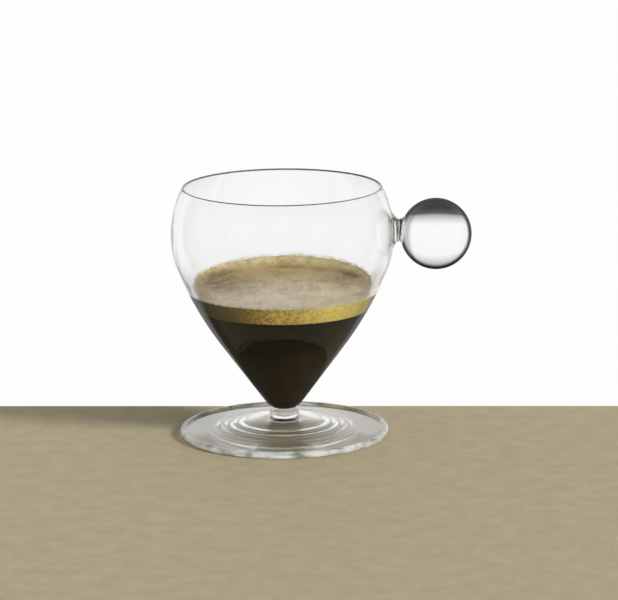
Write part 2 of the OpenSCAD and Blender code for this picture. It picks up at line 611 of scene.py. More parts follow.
@dataclass(frozen=True)
class ClearGlass:
    """Clear blown glass: faint waves and cords, and a painted dark line (painted shade) where the skin turns
    away.

    Attributes:
        name: Name of the material.
        clear: Colour of the skin seen square on.
        cord: Colour of the faint cords that run through the glass.
        edge: Painted shade: colour where the skin turns edge-on, standing in for the dark line that glass
            shows there.
        turn: Facing values, from 0 square on to 1 edge-on, at which the painted edge shade begins and is
            full.
        outline: Painted shade: tint of everything seen in and on the skin where it turns edge-on.
        waves: Waves in the surface.
        cords: Pattern of the cords.
        cord_scale: Stretch of that pattern; the cords run upwards.
        polish: Roughness.
    """

    name: str
    clear: Colour = (0.998, 0.999, 0.998, 1.0)
    cord: Colour = (0.980, 0.985, 0.980, 1.0)
    edge: Colour = (0.93, 0.935, 0.93, 1.0)
    turn: Span = (0.45, 1.0)
    outline: float = 1.0
    waves: Relief = Relief(11.0 * MM, 0.02 * MM)
    cords: Grain = Grain(4.0 * MM, 2.0, (0.45, 0.75))
    cord_scale: Triple = (1.0, 1.0, 0.25)
    polish: Grain = Grain(6.0 * MM, 1.0, (0.35, 0.7), (0.0, 0.012))

    def make(self) -> bpy.types.Material:
        """Makes the material.

        Returns:
            The new material.
        """
        shader = new_shader(self.name)
        spot = shader.place_on_piece()
        cords = shader.grain(self.cords, shader.stretched(spot, self.cord_scale))
        body = shader.blend(cords, self.clear, self.cord)
        # Painted shade: the base colour and the coat tint darken towards the silhouette.
        facing = shader.node("ShaderNodeLayerWeight").outputs["Facing"]
        away = shader.spread(facing, self.turn)
        coat = {}
        if self.outline < 1.0:
            tint = shader.blend(away, grey(1.0), grey(self.outline))
            coat = {"Coat_Tint": tint, "Coat_Weight": 1.0, "Coat_IOR": 1.0}
        return shader.surface(
            Base_Color=shader.blend(away, body, self.edge), Roughness=shader.grain(self.polish, spot),
            Normal=shader.relief(self.waves, spot), IOR=GLASS_IOR, Transmission_Weight=1.0, **coat)


@dataclass(frozen=True)
class PaintedLightEdge:
    """Rounded edge of glass with painted light: pale and partly clear, as if lit up from within, with
    painted darker patches; given dark colours it paints a dark line of shade instead.

    Attributes:
        name: Name of the material.
        clear: Share of the light that passes through.
        pale: Painted light: colour of the parts painted as lit.
        dull: Painted shade: colour of the darker patches.
        patches: Pattern of the patches.
        waves: Waves in the surface.
        polish: Roughness.
    """

    name: str
    clear: float = 0.5
    pale: Colour = (0.96, 0.97, 0.94, 1.0)
    dull: Colour = (0.25, 0.27, 0.21, 1.0)
    patches: Grain = Grain(4.0 * MM, 4.0, (0.44, 0.62))
    waves: Relief = Relief(2.5 * MM, 0.03 * MM, 2.0)
    polish: Grain = Grain(1.5 * MM, 2.0, (0.3, 0.7), (0.03, 0.10))

    def make(self) -> bpy.types.Material:
        """Makes the material.

        Returns:
            The new material.
        """
        shader = new_shader(self.name)
        spot = shader.place_on_piece()
        return shader.surface(
            Base_Color=shader.blend(shader.grain(self.patches, spot), self.pale, self.dull),
            Roughness=shader.grain(self.polish, spot), Normal=shader.relief(self.waves, spot),
            IOR=GLASS_IOR, Transmission_Weight=self.clear)


@dataclass(frozen=True)
class ClearWeld:
    """Fused face between two glass pieces, which cannot be seen."""

    name: str = "clear_weld"
    colour: Colour = grey(0.9)

    def make(self) -> bpy.types.Material:
        """Makes the material."""
        return new_shader(self.name).surface(Base_Color=self.colour, Alpha=0.0)


@dataclass(frozen=True)
class EspressoFinish:
    """Dark coffee behind glass: brown in the tip of the cone, darker and darker up to the crema.

    Attributes:
        name: Name of the material.
        low: Colour in the tip.
        high: Colour under the crema.
        cloud: Colour of the clouds.
        low_z: Height at which the colour starts to change.
        high_z: Height at which it ends to change.
        clouds: Pattern of the clouds.
        sheen: Roughness.
        ripples: Bumps in the surface.
        gloss: Specular level.
    """

    name: str = "dark_espresso"
    low: Colour = (0.033, 0.021, 0.0098, 1.0)
    high: Colour = (0.006, 0.0045, 0.002, 1.0)
    cloud: Colour = (0.013, 0.010, 0.004, 1.0)
    low_z: float = 20.0 * MM
    high_z: float = 37.5 * MM
    clouds: Grain = Grain(7.0 * MM, 3.0, (0.4, 0.75), (0.0, 0.6))
    sheen: Grain = Grain(2.0 * MM, 2.0, (0.3, 0.7), (0.18, 0.30))
    ripples: Relief = Relief(1.5 * MM, 0.02 * MM, 2.0, 0.15)
    gloss: float = 0.03

    def make(self) -> bpy.types.Material:
        """Makes the material.

        Returns:
            The new material.
        """
        shader = new_shader(self.name)
        spot = shader.place_on_piece()
        rising = shader.spread(shader.along(Axis.Z, spot), (self.low_z, self.high_z))
        body = shader.blend(rising, self.low, self.high)
        return shader.surface(
            Base_Color=shader.blend(shader.grain(self.clouds, spot), body, self.cloud),
            Roughness=shader.grain(self.sheen, spot), Normal=shader.relief(self.ripples, spot),
            Specular_IOR_Level=self.gloss)


@dataclass(frozen=True)
class CremaFinish:
    """Fine foam: beige and streaked on top with painted shade under the film, golden at the glass with
    painted light at the right and painted shade at the left, straw-coloured where a film climbs it, lit
    there as painted backlight.

    Attributes:
        name: Name of the material.
        pale: Colour of the top's light streaks.
        drab: Colour of the top's dull streaks.
        milk: Colour of the top's front.
        tan: Colour of the top's back.
        brown_and_painted_shade: Colour of the brown clouds, and of the painted shade under the film and in
            the shade patches.
        dark: Colour of the specks.
        straw: Colour of the film on the back wall, made light as painted backlight.
        gold: Lighter colour at the glass.
        amber: Darker colour at the glass.
        bright: Painted light: colour at the glass on the right.
        painted_shade_left: Painted shade: colour at the glass on the left.
        top_z: Level of the foam.
        film: Heights above the level at which the film's colour starts and is full.
        pour_turn: Turn of the pour about Z in radians, which the patterns on top follow.
    """

    name: str = "golden_crema"
    pale: Colour = (0.93, 0.78, 0.53, 1.0)
    drab: Colour = (0.68, 0.53, 0.32, 1.0)
    milk: Colour = (1.0, 0.90, 0.72, 1.0)
    tan: Colour = (0.68, 0.49, 0.22, 1.0)
    brown_and_painted_shade: Colour = (0.21, 0.14, 0.047, 1.0)
    dark: Colour = (0.17, 0.115, 0.05, 1.0)
    straw: Colour = (1.0, 0.87, 0.50, 1.0)
    gold: Colour = (0.90, 0.69, 0.17, 1.0)
    amber: Colour = (0.50, 0.33, 0.06, 1.0)
    bright: Colour = (0.95, 0.78, 0.24, 1.0)
    painted_shade_left: Colour = (0.15, 0.105, 0.035, 1.0)
    top_z: float = 42.2 * MM
    film: Span = (0.4 * MM, 2.3 * MM)
    pour_turn: float = 0.15
    streak_scale: Triple = (1.0, 0.38, 1.0)
    cloud_scale: Triple = (0.6, 0.5, 1.0)
    speck_scale: Triple = (1.0, 0.6, 1.0)
    froth_scale: Triple = (1.0, 0.45, 1.0)
    streaks: Grain = Grain(2.4 * MM, 7.0, (0.34, 0.64))
    clouds: Grain = Grain(3.5 * MM, 7.0, (0.46, 0.80), (0.0, 0.5))
    top_specks: Specks = Specks(0.7 * MM, (0.13, 0.27), 1.0, Grain(2.5 * MM, 3.0, (0.47, 0.56)))
    side_specks: Specks = Specks(0.6 * MM, (0.12, 0.32), 0.8, Grain(2.0 * MM, 3.0, (0.40, 0.60)))
    side_mottle: Grain = Grain(0.9 * MM, 5.0, (0.40, 0.60))
    film_mottle: Grain = Grain(3.0 * MM, 3.0, (0.36, 0.62), (0.35, 1.0))
    shade_mottle: Grain = Grain(2.2 * MM, 5.0, (0.35, 0.62), (0.5, 1.0))
    front: Fade = Fade(Axis.Y, (8.0 * MM, -16.0 * MM), 0.55)
    back: Fade = Fade(Axis.Y, (4.0 * MM, 22.0 * MM), 0.85)
    # Painted light towards the right and painted shade towards the left of the side at the glass.
    right: Fade = Fade(Axis.X, (0.0, 14.0 * MM), 0.7)
    left: Fade = Fade(Axis.X, (-1.0 * MM, -18.0 * MM), 0.92)
    froth: Relief = Relief(0.5 * MM, 0.12 * MM, 4.0, 0.5)
    polish: Grain = Grain(0.8 * MM, 3.0, (0.3, 0.7), (0.42, 0.65))
    gloss: float = 0.3
    glow: float = 0.35
    glow_depth: float = 1.5 * MM
    glow_reach: Triple = (1.0, 0.7, 0.25)

    def top(self, shader: Tree, spot: Socket) -> Socket:
        """Colour of the top: streaks that run with the pour, brown clouds and fine dark specks.

        Args:
            shader: Node tree of the material.
            spot: Coordinates of the piece.

        Returns:
            The colour's socket.
        """
        flow = shader.stretched(spot, self.streak_scale, self.pour_turn)
        colour = shader.blend(shader.grain(self.streaks, flow), self.drab, self.pale)
        colour = shader.blend(shader.fade(self.front, spot), colour, self.milk)
        colour = shader.blend(shader.fade(self.back, spot), colour, self.tan)
        wide = shader.stretched(spot, self.cloud_scale, self.pour_turn)
        colour = shader.blend(shader.grain(self.clouds, wide), colour, self.brown_and_painted_shade)
        drawn = shader.stretched(spot, self.speck_scale, self.pour_turn)
        return shader.blend(shader.specks(self.top_specks, drawn, flow), colour, self.dark)

    def side(self, shader: Tree, spot: Socket) -> Socket:
        """Colour at the glass: mottled gold, with painted shade at the left and painted light at the right,
        and dark bubbles.

        Args:
            shader: Node tree of the material.
            spot: Coordinates of the piece.

        Returns:
            The colour's socket.
        """
        colour = shader.blend(shader.grain(self.side_mottle, spot), self.amber, self.gold)
        # Painted light towards the right and painted shade towards the left.
        colour = shader.blend(shader.fade(self.right, spot), colour, self.bright)
        colour = shader.blend(shader.fade(self.left, spot), colour, self.painted_shade_left)
        return shader.blend(shader.specks(self.side_specks, spot, spot), colour, self.dark)

    def make(self) -> bpy.types.Material:
        """Makes the material.

        Returns:
            The new material.
        """
        shader = new_shader(self.name)
        spot = shader.place_on_piece()
        # Painted shade: brown under the film's rise and in round patches, from the stored share.
        shade = shader.sum("MULTIPLY", shader.stored(Crema.PAINTED_SHADE), shader.grain(self.shade_mottle, spot))
        colour = shader.blend(shade, self.top(shader, spot), self.brown_and_painted_shade)
        colour = shader.blend(shader.stored(Crema.CLING), colour, self.side(shader, spot))
        # Painted backlight: the film climbing the back wall is coloured light straw.
        climbing = (self.top_z + self.film[0], self.top_z + self.film[1])
        film = shader.spread(shader.along(Axis.Z, spot), climbing)
        film = shader.sum("MULTIPLY", film, shader.grain(self.film_mottle, spot))
        flow = shader.stretched(spot, self.froth_scale, self.pour_turn)
        return shader.surface(
            Base_Color=shader.blend(film, colour, self.straw), Roughness=shader.grain(self.polish, spot),
            Normal=shader.relief(self.froth, flow), Specular_IOR_Level=self.gloss,
            Subsurface_Weight=self.glow, Subsurface_Scale=self.glow_depth, Subsurface_Radius=self.glow_reach)


@dataclass(frozen=True)
class FloorFinish:
    """Plain pale sand-coloured floor with a faint even grain."""

    name: str = "pale_floor"
    light: Colour = (0.42, 0.36, 0.23, 1.0)
    shade: Colour = (0.37, 0.315, 0.20, 1.0)
    grain: Grain = Grain(6.0 * MM, 4.0, (0.3, 0.7))
    relief: Relief = Relief(1.2 * MM, 0.05 * MM, 3.0, 0.2)
    roughness: float = 0.7
    gloss: float = 0.2

    def make(self) -> bpy.types.Material:
        """Makes the material.

        Returns:
            The new material.
        """
        shader = new_shader(self.name)
        spot = shader.place_on_piece()
        return shader.surface(
            Base_Color=shader.blend(shader.grain(self.grain, spot), self.shade, self.light),
            Roughness=self.roughness, Normal=shader.relief(self.relief, spot), Specular_IOR_Level=self.gloss)


@dataclass
class Bowl:
    """Blown bowl: a cone that swells to a belly and draws in over a shoulder to a fire-polished rim.

    Values in _z are heights above the table, values in _h rises from the level below, and values in _r
    radii.
    """

    base_z: float
    widest_r: float = 31.8 * MM
    widest_h: float = 50.2 * MM
    rim_h: float = 13.95 * MM
    shoulder_r: float = 30.7 * MM
    belly_r: float = 26.0 * MM
    flank_r: float = 103.0 * MM
    flank_turn: float = np.radians(14.2)
    tip_r: float = 6.8 * MM
    weld_r: float = 3.3 * MM
    wall_base: float = 1.9 * MM
    wall_rim: float = 0.65 * MM
    floor_t: float = 1.2 * MM
    tip_steps: int = 12
    cone_steps: int = 24
    flank_steps: int = 30
    belly_steps: int = 14
    shoulder_steps: int = 24
    lip_steps: int = 14
    round_steps: int = 240
    window_columns: int = 10
    window_reach: float = 8.3 * MM
    window_rings: int = 6
    waves: Relief = Relief(9.0 * MM, 0.05 * MM)

    def __post_init__(self) -> None:
        """Works out the centres of the outline's arcs, as (radius, height), and the cone's angle."""
        self.widest_z = self.base_z + self.widest_h
        self.rim_z = self.widest_z + self.rim_h
        self.rim_a = np.arcsin(self.rim_h / self.shoulder_r)
        self.shoulder_c = np.array([self.widest_r - self.shoulder_r, self.widest_z])
        self.belly_c = np.array([self.widest_r - self.belly_r, self.widest_z])
        self.tip_c = np.array([0.0, self.base_z + np.sqrt(self.tip_r**2 - self.weld_r**2)])
        way = self.belly_c - self.tip_c
        reach = self.tip_r - self.flank_r + (self.flank_r - self.belly_r) * np.cos(self.flank_turn)
        self.cone_a = np.arccos(reach / np.linalg.norm(way)) - np.arctan2(way[1], way[0])
        self.belly_turn = self.cone_a - self.flank_turn
        self.flank_c = self.belly_c + (self.belly_r - self.flank_r) * unit(-self.belly_turn)
        self.cone_z = (self.flank_c + self.flank_r * unit(-self.cone_a))[1]
        self.floor_z = self.base_z + self.floor_t
        apex_z = self.tip_c[1] - (self.tip_r - self.wall_base) / np.sin(self.cone_a)
        self.inner_tip_c = np.array([0.0, apex_z + (self.floor_z - apex_z) / (1.0 - np.sin(self.cone_a))])
        self.inner_tip_r = self.inner_tip_c[1] - self.floor_z

    def upper_arcs(self) -> list[tuple[np.ndarray, float, float, float, int]]:
        """Arcs of the outside above the cone.

        Returns:
            Flank, belly and shoulder, each as centre, radius, first angle, last angle and steps.
        """
        return [(self.flank_c, self.flank_r, -self.cone_a, -self.belly_turn, self.flank_steps),
                (self.belly_c, self.belly_r, -self.belly_turn, 0.0, self.belly_steps),
                (self.shoulder_c, self.shoulder_r, 0.0, self.rim_a, self.shoulder_steps)]

    def wall(self, height: np.ndarray) -> np.ndarray:
        """Thickness of the glass at a height: even on the cone, thinning evenly from there to the rim."""
        share = np.clip((height - self.cone_z) / (self.rim_z - self.cone_z), 0.0, None)
        return self.wall_base + (self.wall_rim - self.wall_base) * share

    def outside_line(self) -> np.ndarray:
        """Outside from the weld to the rim: tip ball, straight cone, flank, belly and shoulder.

        Returns:
            Points as (radius, height).
        """
        weld_a = np.arccos(self.weld_r / self.tip_r)
        tip = arc(self.tip_c, self.tip_r, -weld_a, -self.cone_a, self.tip_steps)
        upper = joined(*[arc(*one) for one in self.upper_arcs()])
        return joined(tip, straight(tip[-1], upper[0], self.cone_steps), upper)

    def inside_line(self) -> np.ndarray:
        """Inside from the floor to the rim: the outside moved in along its normal by the wall.

        Returns:
            Points as (radius, height).
        """
        tip = arc(self.inner_tip_c, self.inner_tip_r, -np.pi / 2.0, -self.cone_a, self.tip_steps)
        upper = []
        for centre, radius, start, end, steps in self.upper_arcs():
            line = arc(centre, radius, start, end, steps)
            upper.append(line - self.wall(line[:, 1:]) * (line - centre) / radius)
        upper = joined(*upper)
        return joined(tip, straight(tip[-1], upper[0], self.cone_steps), upper)

    def lip_line(self) -> np.ndarray:
        """Half circle that rounds the rim."""
        centre = self.shoulder_c + (self.shoulder_r - self.wall_rim / 2.0) * unit(self.rim_a)
        return arc(centre, self.wall_rim / 2.0, self.rim_a, self.rim_a + np.pi, self.lip_steps)

    def outside_r(self, height: np.ndarray) -> np.ndarray:
        """Outside radius at a height on the belly or the shoulder."""
        bend = np.where(height > self.widest_z, self.shoulder_r, self.belly_r)
        return self.widest_r - bend + np.sqrt(bend**2 - (height - self.widest_z) ** 2)

    def inside_r(self, height: np.ndarray) -> np.ndarray:
        """Inside radius at a height."""
        line = self.inside_line()
        return np.interp(height, line[:, 1], line[:, 0])

    def on_wall(self, across: np.ndarray, height: np.ndarray) -> np.ndarray:
        """Points of the outside wall at Y and Z: X is the root of its radius squared minus Y squared."""
        out = np.sqrt(self.outside_r(height) ** 2 - across**2)
        return np.stack([out, across, height], axis=-1)

    def skin(self) -> Skin:
        """Closed skin of revolution: weld disc, outside, lip, inside.

        Returns:
            The skin, without the handle's window.
        """
        line = joined(self.outside_line(), self.lip_line(), self.inside_line()[::-1])
        rings = turned(line[:-1], self.round_steps)
        return Skin(rings, on_axis(self.base_z), on_axis(self.floor_z), weld_rows=(0,), sharp_rings=(0,))

    def window(self, handle_z: float) -> tuple[int, int]:
        """Window in the outside wall that the handle's boss is welded into.

        Args:
            handle_z: Height of the handle's axis.

        Returns:
            First and last ring of the window.
        """
        heights = self.outside_line()[:, 1]
        inside = np.flatnonzero(np.abs(heights - handle_z) < self.window_reach)
        return int(inside[0]), int(inside[-1])

    def window_loop(self, handle_z: float) -> np.ndarray:
        """Way round the window: along the bottom, up the far side, back and down again.

        Args:
            handle_z: Height of the handle's axis.

        Returns:
            Point numbers.
        """
        low, high = self.window(handle_z)
        columns = np.arange(-self.window_columns, self.window_columns + 1)
        rows = np.arange(low, high + 1)
        index = self.skin().index()
        bottom, top = index[low, columns], index[high, columns]
        right, left = index[rows, columns[-1]], index[rows, columns[0]]
        return np.concatenate([bottom[:-1], right[:-1], top[:0:-1], left[:0:-1]])

    def weld_angles(self, handle_z: float) -> np.ndarray:
        """Angles round the handle's axis, from +Y towards +Z, at which the window's points lie."""
        loop = self.skin().points()[self.window_loop(handle_z)]
        return np.arctan2(loop[:, 2] - handle_z, loop[:, 1])

    def weld_rings(self, handle_z: float, radii: np.ndarray) -> np.ndarray:
        """Rings on the outside wall round the handle's axis, of shape (radii, angles, 3)."""
        spot = radii[:, None, None] * unit(self.weld_angles(handle_z))[None]
        return self.on_wall(spot[..., 0], spot[..., 1] + handle_z)

    def wall_kinds(self, drink_z: float, shape: tuple[int, int]) -> np.ndarray:
        """Finish of each face of the skin's walls.

        Args:
            drink_z: Height up to which the drink stands behind the wall.
            shape: Rows and columns of the walls.

        Returns:
            Values of Face.
        """
        heights = self.outside_line()[1:, 1]
        kinds = np.full(shape, Face.SKIN.value)
        kinds[np.flatnonzero(heights < drink_z)] = Face.WET.value
        # The lip takes the edge finish, dark there as painted shade.
        kinds[len(heights):len(heights) + self.lip_steps] = Face.EDGE.value
        return kinds

    def build(self, handle_z: float, boss_r: float, drink_z: float) -> bpy.types.Mesh:
        """Mesh of the bowl, with a round patch of clear weld under the handle's boss.

        The square window in the wall's grid is filled by rings that pass from the window's edge to the
        boss's round foot, and by smaller rings within the foot. All of them lie on the wall.

        Args:
            handle_z: Height of the handle's axis.
            boss_r: Radius of the boss on the wall.
            drink_z: Height up to which the drink stands behind the wall.

        Returns:
            The new mesh.
        """
        skin = self.skin()
        low, high = self.window(handle_z)
        loop = self.window_loop(handle_z)
        points = skin.points()
        edge = points[loop][:, 1:]
        foot = boss_r * unit(self.weld_angles(handle_z)) + np.array([0.0, handle_z])
        share = np.linspace(0.0, 1.0, self.window_rings + 1)[1:, None, None]
        passing = (1.0 - share) * edge + share * foot
        passing = self.on_wall(passing[..., 0], passing[..., 1])
        within = self.weld_rings(handle_z, boss_r * np.array(WELD_SHARES[::-1]))
        patch = np.concatenate([passing, within])
        centre = self.on_wall(np.zeros(1), np.full(1, handle_z))
        first = len(points)
        index = np.vstack([loop, first + np.arange(patch[..., 0].size).reshape(patch.shape[:2])])
        hub = np.full(len(loop), first + patch[..., 0].size)
        fan = np.stack([index[-1], np.roll(index[-1], -1), hub], axis=-1)
        walls = skin.walls()
        keep = np.ones(walls.shape[:2], dtype=bool)
        keep[low:high, np.arange(-self.window_columns, self.window_columns)] = False
        faces = (skin.fan(False).tolist() + walls[keep].tolist() + skin.fan(True).tolist()
                 + quads(index).reshape(-1, 4).tolist() + fan.tolist())
        kinds = np.full(len(faces), Face.SKIN.value)
        kinds[:self.round_steps] = Face.WELD.value
        kinds[self.round_steps:self.round_steps + keep.sum()] = self.wall_kinds(drink_z, keep.shape)[keep]
        welded = len(loop) * (len(within) + 1)
        kinds[-welded:] = Face.WELD.value
        points = np.concatenate([points, patch.reshape(-1, 3), centre])
        labels = np.concatenate([skin.sharp_labels(), np.full(len(points) - first, -1)])
        return make_mesh("glass_bowl", points, faces, kinds, labels)

    def dress(self, mesh: bpy.types.Mesh, weld: bpy.types.Material) -> bpy.types.Object:
        """Gives the bowl its glass and sets it in place of the construction's bowl.

        Args:
            mesh: Mesh of the bowl.
            weld: Finish of its welds.

        Returns:
            The bowl.
        """
        # Painted shade: the rim's lip is coloured dark grey for the dark line that its rounding shows.
        rim = PaintedLightEdge("painted_dark_rim", pale=(0.20, 0.185, 0.185, 1.0), dull=(0.15, 0.14, 0.14, 1.0))
        glass = ClearGlass("bowl_glass", waves=self.waves)
        # Painted shade: glass in front of the drink darkens more, and from a smaller turn, towards its
        # silhouette.
        wet = ClearGlass("wetted_bowl_glass", turn=(0.35, 0.65), outline=0.87, waves=self.waves)
        return place(mesh, [glass.make(), weld, rim.make(), wet.make()], Slot.GLASS, "bowl")


@dataclass
class Foot:
    """Foot and knop: a rippled disc with a beaded edge, a hollow hill and a bead of glass on top."""

    foot_r: float
    foot_h: float
    knop_top_z: float
    disc_h: float = 2.0 * MM
    edge_h: float = 1.25 * MM
    bead_r: float = 0.95 * MM
    hill_w: float = 17.6 * MM
    ripple_n: int = 4
    ripple_in_r: float = 10.7 * MM
    ripple_pitch: float = 2.6 * MM
    ripple_h: float = 0.18 * MM
    ripple_fade: float = 0.35
    rest_w: float = 1.6 * MM
    kick_h: float = 0.8 * MM
    dome_t: float = 1.5 * MM
    knop_base_r: float = 4.0 * MM
    knop_top_r: float = 3.3 * MM
    knop_swell: float = 0.65 * MM
    # Width of the outer ring of the foot that takes painted light.
    painted_glow_w: float = 1.425 * MM
    under_steps: int = 90
    rest_steps: int = 4
    bead_steps: int = 24
    top_steps: int = 220
    knop_steps: int = 16
    round_steps: int = 240

    def __post_init__(self) -> None:
        """Works out where the bead and the hill end and how high the dome under the hill is."""
        self.bead_c = np.array([self.foot_r - self.bead_r, self.bead_r])
        self.bead_end = np.pi - np.arcsin((self.edge_h - self.bead_r) / self.bead_r)
        self.bead_in_r = (self.bead_c + self.bead_r * unit(self.bead_end))[0]
        self.hill_end_r = self.knop_base_r + self.hill_w
        self.rest_in_r = self.bead_c[0] - self.rest_w
        self.dome_h = self.foot_h - self.dome_t - self.kick_h

    def under_line(self) -> np.ndarray:
        """Underside from the axis out to the rest ring: a shallow hollow and a dome under the hill.

        Formula: the hollow's rise times 1 minus the share of the radius squared, plus the dome's rise times
        the hill's own raised cosine.

        Returns:
            Points as (radius, height).
        """
        radius = np.linspace(0.0, self.rest_in_r, self.under_steps + 1)
        hollow = self.kick_h * (1.0 - (radius / self.rest_in_r) ** 2)
        return np.stack([radius, hollow + self.dome_h * self.hill_share(radius)], axis=-1)

    def hill_share(self, radius: np.ndarray) -> np.ndarray:
        """Share of the hill's height at a radius: a raised cosine from 0 at its end to 1 at the knop."""
        climb = np.clip((self.hill_end_r - radius) / self.hill_w, 0.0, 1.0)
        return (1.0 - np.cos(np.pi * climb)) / 2.0

    def top_line(self) -> np.ndarray:
        """Top from the bead in to the knop.

        Formula: the disc's height and its gentle slope outside the hill, plus the hill's raised cosine, plus
        one raised cosine for each ripple, lower from one ripple to the next.

        Returns:
            Points as (radius, height).
        """
        radius = np.linspace(self.bead_in_r, self.knop_base_r, self.top_steps + 1)
        slope = np.clip(radius - self.hill_end_r, 0.0, None) / (self.bead_in_r - self.hill_end_r)
        plain = self.disc_h + (self.edge_h - self.disc_h) * slope
        hill = (self.foot_h - self.disc_h) * self.hill_share(radius)
        turns = np.clip((radius - self.ripple_in_r) / self.ripple_pitch, 0.0, self.ripple_n)
        fade = 1.0 - self.ripple_fade * (turns / self.ripple_n) ** 2
        ripples = self.ripple_h / 2.0 * (1.0 - np.cos(2.0 * np.pi * turns)) * fade
        return np.stack([radius, plain + hill + ripples], axis=-1)

    def foot_line(self) -> np.ndarray:
        """Outline of the foot from the middle of its underside round to the knop's weld.

        Returns:
            Points as (radius, height).
        """
        under = self.under_line()
        bead = arc(self.bead_c, self.bead_r, -np.pi / 2.0, self.bead_end, self.bead_steps)
        rest = straight(under[-1], bead[0], self.rest_steps)
        return joined(under[1:], rest, bead, self.top_line())

    def build_foot(self) -> bpy.types.Mesh:
        """Mesh of the foot, with painted light on its edge and with its top welded to the knop.

        Returns:
            The new mesh.
        """
        line = self.foot_line()
        rings = turned(line, self.round_steps)
        outer = np.flatnonzero(line[:, 0] > self.foot_r - self.painted_glow_w)
        skin = Skin(rings, on_axis(self.kick_h + self.dome_h), on_axis(self.foot_h), weld_rows=(len(line),),
                    edge_rows=tuple(range(outer[0] + 1, outer[-1] + 1)), sharp_rings=(len(line) - 1,))
        return skin.mesh("glass_foot")

    def build_knop(self) -> bpy.types.Mesh:
        """Mesh of the knop, welded to the foot below and to the bowl above.

        Returns:
            The new mesh.
        """
        base = np.array([self.knop_base_r, self.foot_h])
        top = np.array([self.knop_top_r, self.knop_top_z])
        line = swell(base, top, self.knop_swell, self.knop_steps)
        rings = turned(line, self.round_steps)
        skin = Skin(rings, on_axis(self.foot_h), on_axis(self.knop_top_z),
                    weld_rows=(0, len(line)), sharp_rings=(0, len(line) - 1))
        return skin.mesh("glass_knop")

    def dress(self, weld: bpy.types.Material) -> list[bpy.types.Object]:
        """Builds both pieces, gives them their glass and sets them in place.

        Args:
            weld: Finish of their welds.

        Returns:
            The foot and the knop.
        """
        glass = ClearGlass("foot_glass", clear=(0.985, 0.98, 0.955, 1.0), cord=(0.955, 0.95, 0.92, 1.0),
                           waves=Relief(7.0 * MM, 0.02 * MM)).make()
        # Painted light: the foot's beaded edge is pale, partly clear glass, as if lit up from within.
        edge = PaintedLightEdge("foot_edge_painted_glow", clear=0.75).make()
        return [place(self.build_foot(), [glass, weld, edge], Slot.GLASS, "foot"),
                place(self.build_knop(), [glass, weld], Slot.GLASS, "stem_knop")]


